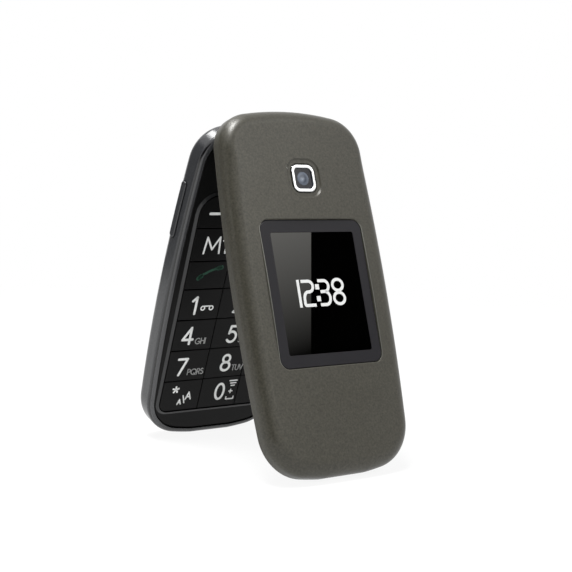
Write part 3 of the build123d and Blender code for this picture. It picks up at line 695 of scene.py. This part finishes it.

# The thin lip round the opening of the outer window, on the crowned face of the cover, in a lighter and shinier
# copy of the lid's paint: a painted highlight along the edge of the opening
lip = {
    "halfWidth": 18.42, "halfHeight": 21.52, "corner": 3.2, "width": 0.24, "middle": 52.2, "rise": 0.03,
    "depth": 0.25, "sideStep": 6.0, "sideSteps": 5, "crownMiddle": 52.3, "crownTop": 7.55, "crownRadius": 450.0,
}
lipHighlightFinish = shadedMaterial("lipHighlightPaint", {
    "color": (0.13, 0.13, 0.115), "roughness": 0.30, "metallic": 0.6, "speckSpread": 0.2, "grain": 0.05,
})


def crownHeight(down):
    return lip["crownTop"] - (down - lip["crownMiddle"]) ** 2 / (2 * lip["crownRadius"])


path = []
for signX, signY, start in cornerTurns:
    cornerX = signX * (lip["halfWidth"] - lip["corner"])
    cornerY = -lip["middle"] + signY * (lip["halfHeight"] - lip["corner"])
    path += quarter(cornerX, cornerY, lip["corner"], start)
    if signX * signY < 0:  # a long side follows, which needs points to bend over the crown
        sideX = path[-1][0]
        path += [(sideX, cornerY - signY * step * lip["sideStep"]) for step in range(1, lip["sideSteps"] + 1)]
sections = []
for index, spot in enumerate(path):
    before, after = Vector(path[index - 1]), Vector(path[(index + 1) % len(path)])
    along = (after - before).normalized()
    outward = Vector((along.y, -along.x)) * lip["width"] / 2
    inner, outer = Vector(spot) - outward, Vector(spot) + outward
    top = crownHeight(-spot[1]) + lip["rise"]
    foot = top - lip["depth"]
    sections.append([(*inner, top), (*outer, top), (*outer, foot), (*inner, foot)])
mesh = bmesh.new()
addBar(mesh, sections, closed=True)
finishPiece(mesh, "window_lip", lidPlace, lipHighlightFinish, "lid")
print("window lip made")

# The bevel round the raised block of keys, following the slope of the housing, in a paler copy of the housing's
# black: a painted sheen where the bevel catches the light
bevel = {
    "halfWidth": 22.55, "top": 21.55, "foot": 96.45, "topCorner": 7.15, "footCorner": 4.35,
    "width": 0.85, "footHeight": -0.425, "climb": 0.47, "wall": 0.2,
}
bevelSheenFinish = shadedMaterial("bevelPaintedSheen", {
    "color": (0.0215, 0.0220, 0.0230), "roughness": 0.34, "grain": 0.06, "toneSpread": 0.10,
})
footHeight, headHeight = bevel["footHeight"], bevel["footHeight"] + bevel["climb"]
sections = []
for signX, signY, start in cornerTurns:
    radius = bevel["topCorner"] if signY > 0 else bevel["footCorner"]
    cornerX = signX * (bevel["halfWidth"] - radius)
    cornerY = -bevel["top"] - radius if signY > 0 else -bevel["foot"] + radius
    outer = quarter(cornerX, cornerY, radius, start)
    inner = quarter(cornerX, cornerY, radius - bevel["width"], start)
    for low, high in zip(outer, inner):
        sections.append([
            (*low, footHeight), (*high, headHeight),
            (*high, headHeight - bevel["wall"]), (*low, footHeight - bevel["wall"]),
        ])
mesh = bmesh.new()
addBar(mesh, sections, closed=True)
finishPiece(mesh, "keypad_bevel", basePlace, bevelSheenFinish, "base")
print("keypad bevel made")

# Clock figures in the outer window, in the lid's millimetres
clock = {
    "face": 6.93, "sink": 0.02, "rise": 0.02, "stroke": 0.90, "roughness": 0.35, "specular": 0.2,
    "color": (0.97, 0.98, 0.97), "tone": 0.60, "toneSpread": 0.10, "toneScale": 4000.0, "glow": 0.08,
    "dotsAcross": -1.38, "dotsDown": (50.65, 54.1), "dotHalfWidth": 0.70, "dotHalfHeight": 0.76,
}
clockMaterial = bpy.data.materials.new("clockGlow")
clockMaterial.use_nodes = True
clockTree = clockMaterial.node_tree
clockShader = clockTree.nodes["Principled BSDF"]
clockShader.inputs["Roughness"].default_value = clock["roughness"]
clockShader.inputs["Specular IOR Level"].default_value = clock["specular"]
clockShader.inputs["Emission Strength"].default_value = clock["glow"]
clockTone = groupNode(
    clockTree, speckGroup, Value=clock["tone"], Spread=clock["toneSpread"], Scale=clock["toneScale"]
)
clockPaint = tint(clockTree, clock["color"], clockTone)
for label in ("Base Color", "Emission Color"):
    clockTree.links.new(clockPaint, clockShader.inputs[label])

# The figures 1, 2 and 3 end squarely, and the 8 is two rings
squareStrokes = [
    [(-8.0, -48.4), (-8.0, -56.4)],
    [(-6.95, -48.9), (-4.4, -48.9)] + arc(-4.4, -50.45, 1.5, 1.55, 90, -75)
    + arc(-4.9, -54.1, 1.5, 2.1, 105, 180) + [(-6.4, -55.4)]
    + arc(-5.95, -55.45, 0.45, 0.45, 180, 270) + [(-2.6, -55.9)],
    [(-1.0, -48.9), (1.15, -48.9)] + arc(1.15, -50.48, 1.55, 1.58, 75, -90) + [(-0.4, -52.1)],
    [(1.15, -52.1)] + arc(1.15, -54.0, 1.65, 1.9, 80, -90) + [(-1.0, -55.9)],
]
ringStrokes = [arc(6.08, -50.3, 1.86, 1.62, 0, 360), arc(6.1, -54.2, 1.92, 1.68, 0, 360)]
mesh = bmesh.new()
low, high = clock["face"] - clock["sink"], clock["face"] + clock["rise"]
addStrokes(mesh, squareStrokes, clock["stroke"], low, high, roundEnds=False)
addStrokes(mesh, ringStrokes, clock["stroke"], low, high)
left, right = clock["dotsAcross"] - clock["dotHalfWidth"], clock["dotsAcross"] + clock["dotHalfWidth"]
for down in clock["dotsDown"]:
    foot, top = -down - clock["dotHalfHeight"], -down + clock["dotHalfHeight"]
    addPrism(mesh, [(left, foot), (right, foot), (right, top), (left, top)], low, high)
finishPiece(mesh, "clock_figures", lidPlace, clockMaterial, "lid")
print("clock figures set")


# Small parts that repeat, each made by a node tree on a grid of points
holeSides = 12


def gridTree(name, shape):
    # Copies of one small shape on a grid: "cross", "disc" or "strip"
    inputs = [
        ("Geometry", "NodeSocketGeometry", None),
        ("Span X", "NodeSocketFloat", 1.0), ("Span Y", "NodeSocketFloat", 1.0),
        ("Columns", "NodeSocketInt", 2), ("Rows", "NodeSocketInt", 2),
        ("Long", "NodeSocketFloat", 1.0), ("Wide", "NodeSocketFloat", 0.3), ("Thick", "NodeSocketFloat", 0.05),
        ("Finish", "NodeSocketMaterial", None),
    ]
    tree, groupIn, groupOut = newGroup("GeometryNodeTree", name, inputs, "NodeSocketGeometry", "Geometry")
    link = tree.links.new
    grid = tree.nodes.new("GeometryNodeMeshGrid")
    gridSockets = {"Span X": "Size X", "Span Y": "Size Y", "Columns": "Vertices X", "Rows": "Vertices Y"}
    for label, socket in gridSockets.items():
        link(groupIn.outputs[label], grid.inputs[socket])
    onPoints = tree.nodes.new("GeometryNodeInstanceOnPoints")
    link(grid.outputs["Mesh"], onPoints.inputs["Points"])
    if shape == "disc":
        disc = tree.nodes.new("GeometryNodeMeshCylinder")
        disc.inputs["Vertices"].default_value = holeSides
        link(groupIn.outputs["Wide"], disc.inputs["Radius"])
        link(groupIn.outputs["Thick"], disc.inputs["Depth"])
        link(disc.outputs["Mesh"], onPoints.inputs["Instance"])
    else:
        joined = tree.nodes.new("GeometryNodeJoinGeometry")
        orders = [("Long", "Wide"), ("Wide", "Long")] if shape == "cross" else [("Wide", "Long")]
        for first, second in orders:
            size = tree.nodes.new("ShaderNodeCombineXYZ")
            link(groupIn.outputs[first], size.inputs["X"])
            link(groupIn.outputs[second], size.inputs["Y"])
            link(groupIn.outputs["Thick"], size.inputs["Z"])
            arm = tree.nodes.new("GeometryNodeMeshCube")
            link(size.outputs[0], arm.inputs["Size"])
            link(arm.outputs["Mesh"], joined.inputs[0])
        link(joined.outputs[0], onPoints.inputs["Instance"])
    realize = tree.nodes.new("GeometryNodeRealizeInstances")
    link(onPoints.outputs[0], realize.inputs[0])
    dress = tree.nodes.new("GeometryNodeSetMaterial")
    link(realize.outputs[0], dress.inputs["Geometry"])
    link(groupIn.outputs["Finish"], dress.inputs["Material"])
    link(dress.outputs[0], groupOut.inputs[0])
    return tree


repeatTrees = {shape: gridTree(shape + "Grid", shape) for shape in ("cross", "disc", "strip")}


def repeatPiece(name, shape, values, centre, place, material, body):
    # Runs a tree with these values, keeps the result as a plain mesh and puts it in its place
    seed = linkObject(name + "Seed", bpy.data.meshes.new(name + "Seed"))
    modifier = seed.modifiers.new("repeat", "NODES")
    modifier.node_group = repeatTrees[shape]
    values = {**values, "Finish": material}
    for item in repeatTrees[shape].interface.items_tree:
        if item.item_type == "SOCKET" and item.in_out == "INPUT" and item.name in values:
            modifier[item.identifier] = values[item.name]
    evaluated = seed.evaluated_get(bpy.context.evaluated_depsgraph_get())
    result = bpy.data.meshes.new_from_object(evaluated)
    seed.modifiers.remove(modifier)
    bpy.data.objects.remove(seed)
    result.name = name
    result.transform(place @ Matrix.Translation(centre))
    ridePiece(name, result, material, body)


# Flat black crosses and discs are painted shade in the screw slots and earpiece holes; the same black is also
# the print of the battery's pole signs
holeShadeAndPrintFinish = shadedMaterial("holeShadeAndPrintBlack", {
    "color": (0.006, 0.006, 0.006), "roughness": 0.6, "specular": 0.3,
})
# Piece: (shape, tree inputs, middle of the grid, place, finish, body, slot)
smallParts = {
    "lid_screw_crosses": ("cross", {
        "Span X": 40.6, "Span Y": 80.0, "Columns": 2, "Rows": 2, "Long": 1.15, "Wide": 0.26, "Thick": 0.04,
    }, (0, -50.0, 0.285), lidPlace, holeShadeAndPrintFinish, "lid", "steel"),
    "base_screw_crosses": ("cross", {
        "Span X": 45.4, "Span Y": 47.0, "Columns": 2, "Rows": 2, "Long": 1.15, "Wide": 0.26, "Thick": 0.04,
    }, (0, -64.5, -4.785), basePlace, holeShadeAndPrintFinish, "base", "steel"),
    "earpiece_holes": ("disc", {
        "Span X": 7.2, "Span Y": 0.5, "Columns": 13, "Rows": 2, "Wide": 0.16, "Thick": 0.04,
    }, (0, -11.5, 0.765), lidPlace, holeShadeAndPrintFinish, "lid", "steel"),
    "socket_contacts": ("strip", {
        "Span X": 4.4, "Span Y": 0.0, "Columns": 5, "Rows": 1, "Long": 3.6, "Wide": 0.42, "Thick": 0.06,
    }, (0, -101.2, -5.76), basePlace, materials["contactGold"], "base", "steel"),
    "battery_terminals": ("strip", {
        "Span X": 5.4, "Span Y": 0.0, "Columns": 3, "Rows": 1, "Long": 0.06, "Wide": 1.5, "Thick": 1.5,
    }, (0, -77.52, -5.3), basePlace, materials["contactGold"], "base", "steel"),
}
for name, (shape, values, centre, place, material, body, slotName) in smallParts.items():
    repeatPiece(name, shape, values, Vector(centre), place, material, body)
print("small repeated parts made:", len(smallParts))

# The tongue inside the charging socket, with rounded corners at its mouth
tongue = {"halfWidth": 2.75, "back": -98.4, "front": -103.2, "height": -5.45, "halfThick": 0.28, "round": 0.5}
roundX, roundY = tongue["halfWidth"] - tongue["round"], tongue["front"] + tongue["round"]
outline = [(tongue["halfWidth"], tongue["back"]), (-tongue["halfWidth"], tongue["back"])]
outline += quarter(-roundX, roundY, tongue["round"], 180) + quarter(roundX, roundY, tongue["round"], 270)
mesh = bmesh.new()
addPrism(mesh, outline, tongue["height"] - tongue["halfThick"], tongue["height"] + tongue["halfThick"])
finishPiece(mesh, "socket_tongue", basePlace, materials["unitPlastic"], "base")

# A plain label on the battery, bare but for the signs of its poles
label = {
    "halfWidth": 16.5, "top": 30.0, "foot": 72.0, "corner": 1.5, "low": -7.20, "high": -7.13,
    "signLow": -7.24, "signHigh": -7.19, "signHeight": 2.4, "signStroke": 0.4, "signFoot": -69.9,
}
poleSigns = {"+": 5.8, "-": -7.2}  # sign: where it starts across
labelFinish = shadedMaterial("labelPaper", {
    "color": (0.42, 0.43, 0.44), "roughness": 0.5, "specular": 0.3, "speckSpread": 0.08,
})
outline = []
for signX, signY, start in cornerTurns:
    cornerY = -label["top"] - label["corner"] if signY > 0 else -label["foot"] + label["corner"]
    outline += quarter(signX * (label["halfWidth"] - label["corner"]), cornerY, label["corner"], start)
mesh = bmesh.new()
addPrism(mesh, outline, label["low"], label["high"])
finishPiece(mesh, "battery_label", basePlace, labelFinish, "base")
mesh = bmesh.new()
for sign, left in poleSigns.items():
    strokes = moveStrokes(wordStrokes(sign, label["signHeight"], 0)[0], left, label["signFoot"])
    addStrokes(mesh, strokes, label["signStroke"], label["signLow"], label["signHigh"])
finishPiece(mesh, "battery_signs", basePlace, holeShadeAndPrintFinish, "base")
print("socket and battery details made")

# Floor and background: the floor keeps the shadow close by and ends in plain white
stage = {
    "floorSize": 6.0, "floorColor": (0.98, 0.98, 0.975), "floorRoughness": 0.9, "ambient": 0.46,
    "nearGlow": 0.90, "nearReach": 0.10, "farReach": 0.45,
}


def rayFlag(tree):
    # 1 for camera, glossy and transmission rays, which see the white background
    rays = tree.nodes.new("ShaderNodeLightPath").outputs
    seen = mathNode(tree, "MAXIMUM", rays["Is Camera Ray"], rays["Is Glossy Ray"])
    return mathNode(tree, "MAXIMUM", seen, rays["Is Transmission Ray"])


bpy.ops.mesh.primitive_plane_add(size=stage["floorSize"], location=(0, 0, 0))
floor = bpy.context.object
floor.name = "studioFloor"
floorMaterial = bpy.data.materials.new("paleFloor")
floorMaterial.use_nodes = True
floorTree = floorMaterial.node_tree
floorShader = floorTree.nodes["Principled BSDF"]
floorShader.inputs["Base Color"].default_value = (*stage["floorColor"], 1)
floorShader.inputs["Roughness"].default_value = stage["floorRoughness"]
floorShader.inputs["Specular IOR Level"].default_value = 0.0
floorGlow = floorTree.nodes.new("ShaderNodeEmission")
floorGlow.inputs["Strength"].default_value = 1.0
floorPlace = floorTree.nodes.new("ShaderNodeTexCoord")
floorReach = floorTree.nodes.new("ShaderNodeVectorMath")
floorReach.operation = "LENGTH"
floorTree.links.new(floorPlace.outputs["Object"], floorReach.inputs[0])
floorFade = remap(
    floorTree, floorReach.outputs["Value"], stage["nearReach"], stage["farReach"], stage["nearGlow"], 1.0
)
floorMix = floorTree.nodes.new("ShaderNodeMixShader")
floorTree.links.new(mathNode(floorTree, "MULTIPLY", rayFlag(floorTree), floorFade), floorMix.inputs[0])
floorTree.links.new(floorShader.outputs[0], floorMix.inputs[1])
floorTree.links.new(floorGlow.outputs[0], floorMix.inputs[2])
floorTree.links.new(floorMix.outputs[0], floorTree.nodes["Material Output"].inputs["Surface"])
floor.data.materials.append(floorMaterial)

world = bpy.data.worlds.new("studioWorld")
bpy.context.scene.world = world
world.use_nodes = True
worldTree = world.node_tree
backdrop = worldTree.nodes["Background"]
backdrop.inputs["Color"].default_value = (1, 1, 1, 1)
worldLift = remap(worldTree, rayFlag(worldTree), 0.0, 1.0, stage["ambient"], 1.0)
worldTree.links.new(worldLift, backdrop.inputs["Strength"])

# Soft lamps: (place, aim, size, power)
lamps = {
    "overheadSoftbox": ((-0.15, 0.0, 0.75), (0, 0, 0.05), (0.26, 0.22), 7.5),
    "frontSoftbox": ((0.50, -0.85, 0.85), (0, 0, 0.04), (0.9, 0.7), 3.0),
    "backSoftbox": ((-0.10, 0.38, 0.72), (0, 0, 0.08), (0.22, 0.16), 1.3),
}
for name, (spot, aim, size, power) in lamps.items():
    lamp = bpy.data.lights.new(name, "AREA")
    lamp.shape = "RECTANGLE"
    lamp.size, lamp.size_y = size
    lamp.energy = power
    holder = linkObject(name, lamp)
    holder.location = spot
    holder.rotation_euler = (Vector(aim) - Vector(spot)).to_track_quat("-Z", "Y").to_euler()

# Two boards that only reflections see, a lit one and behind it a dark one, for the window
mirrorBoards = {
    "middle": (0.3663, -0.4376, 0.2845), "across": (0.7486, 0.6630, 0.0), "upward": (-0.2575, 0.2908, 0.9215),
    "litOutline": [(39.5, 120), (-55.8, -120), (-115, -120), (-60, 120)],
    "darkOutline": [(75, 110), (75, -110), (-75, -110), (-40, 110)],
    "darkBehind": 0.02, "litColor": (1.0, 0.985, 0.93), "litTop": 2.5, "litFoot": 0.06,
    "rampTop": 0.055, "rampFoot": -0.036,
}
# Two more on the left, a dim one and a dark one, which the sides of both halves reflect
sideBoards = {
    "flankBoard": [(-0.75, 0.15, 0.003), (-0.10, 0.62, 0.003), (-0.10, 0.62, 0.50), (-0.75, 0.15, 0.50)],
    "leftBoard": [(-0.80, -0.05, 0.003), (-0.45, -0.72, 0.003), (-0.45, -0.72, 0.55), (-0.80, -0.05, 0.55)],
}
boardGlow = {"dimBoard": ((0.97, 0.985, 1.0), 0.24), "darkBoard": ((1, 1, 1), 0.0)}  # colour, strength


def mirrorOutline(outline, behind):
    across, upward = Vector(mirrorBoards["across"]), Vector(mirrorBoards["upward"])
    middle = Vector(mirrorBoards["middle"]) + across.cross(upward).normalized() * behind
    return [middle + (across * u + upward * v) * stance["millimetre"] for u, v in outline]


def boardPiece(name, corners, material):
    data = bpy.data.meshes.new(name)
    data.from_pydata(corners, [], [tuple(range(len(corners)))])
    data.materials.append(material)
    board = linkObject(name, data)
    board.visible_camera = False
    board.visible_diffuse = False
    board.visible_shadow = False
    board.visible_transmission = False


litMaterial = bpy.data.materials.new("litBoard")
litMaterial.use_nodes = True
litTree = litMaterial.node_tree
litTree.nodes.remove(litTree.nodes["Principled BSDF"])
litGlow = litTree.nodes.new("ShaderNodeEmission")
litGlow.inputs["Color"].default_value = (*mirrorBoards["litColor"], 1)
litPlace = litTree.nodes.new("ShaderNodeTexCoord")
litSplit = litTree.nodes.new("ShaderNodeSeparateXYZ")
litTree.links.new(litPlace.outputs["Object"], litSplit.inputs[0])
rampMiddle = mirrorBoards["middle"][2]
litRamp = remap(
    litTree, litSplit.outputs["Z"], rampMiddle + mirrorBoards["rampFoot"], rampMiddle + mirrorBoards["rampTop"],
    mirrorBoards["litFoot"], mirrorBoards["litTop"],
)
litTree.links.new(litRamp, litGlow.inputs["Strength"])
litTree.links.new(litGlow.outputs[0], litTree.nodes["Material Output"].inputs["Surface"])
boardMaterials = {}
for name, (color, strength) in boardGlow.items():
    boardMaterials[name] = bpy.data.materials.new(name)
    boardMaterials[name].use_nodes = True
    boardShader = boardMaterials[name].node_tree.nodes["Principled BSDF"]
    boardShader.inputs["Base Color"].default_value = (0, 0, 0, 1)
    boardShader.inputs["Specular IOR Level"].default_value = 0.0
    boardShader.inputs["Emission Color"].default_value = (*color, 1)
    boardShader.inputs["Emission Strength"].default_value = strength
darkOutline = mirrorOutline(mirrorBoards["darkOutline"], mirrorBoards["darkBehind"])
boardPiece("litBoard", mirrorOutline(mirrorBoards["litOutline"], 0.0), litMaterial)
boardPiece("darkBoard", darkOutline, boardMaterials["darkBoard"])
boardPiece("flankBoard", sideBoards["flankBoard"], boardMaterials["dimBoard"])
boardPiece("leftBoard", sideBoards["leftBoard"], boardMaterials["darkBoard"])
print("stage and lights set")

# The camera at the photograph's viewing angle, turned about the hinge line by its lean
view = {
    "lens": 79.15, "sensor": 36.0, "azimuth": -36.15, "elevation": 3.3, "distance": 0.37694,
    "aim": (0.0023, 0, -0.04785), "lean": -3.304,
}
azimuth, elevation = math.radians(view["azimuth"]), math.radians(view["elevation"])
level = math.cos(elevation)
back = Vector((math.sin(azimuth) * level, -math.cos(azimuth) * level, math.sin(elevation)))
right = Vector((math.cos(azimuth), math.sin(azimuth), 0))
upward = back.cross(right)
spot = Vector(view["aim"]) + back * view["distance"]
look = Matrix((
    (right.x, upward.x, back.x, spot.x), (right.y, upward.y, back.y, spot.y),
    (right.z, upward.z, back.z, spot.z), (0, 0, 0, 1),
))
cameraData = bpy.data.cameras.new("photoCamera")
cameraData.lens = view["lens"]
cameraData.sensor_width = view["sensor"]
camera = linkObject("photoCamera", cameraData)
camera.matrix_world = Matrix.Translation(hingeLine) @ Matrix.Rotation(math.radians(view["lean"]), 4, "X") @ look
bpy.context.scene.camera = camera
bpy.context.scene.view_settings.view_transform = "Standard"
print("camera set")
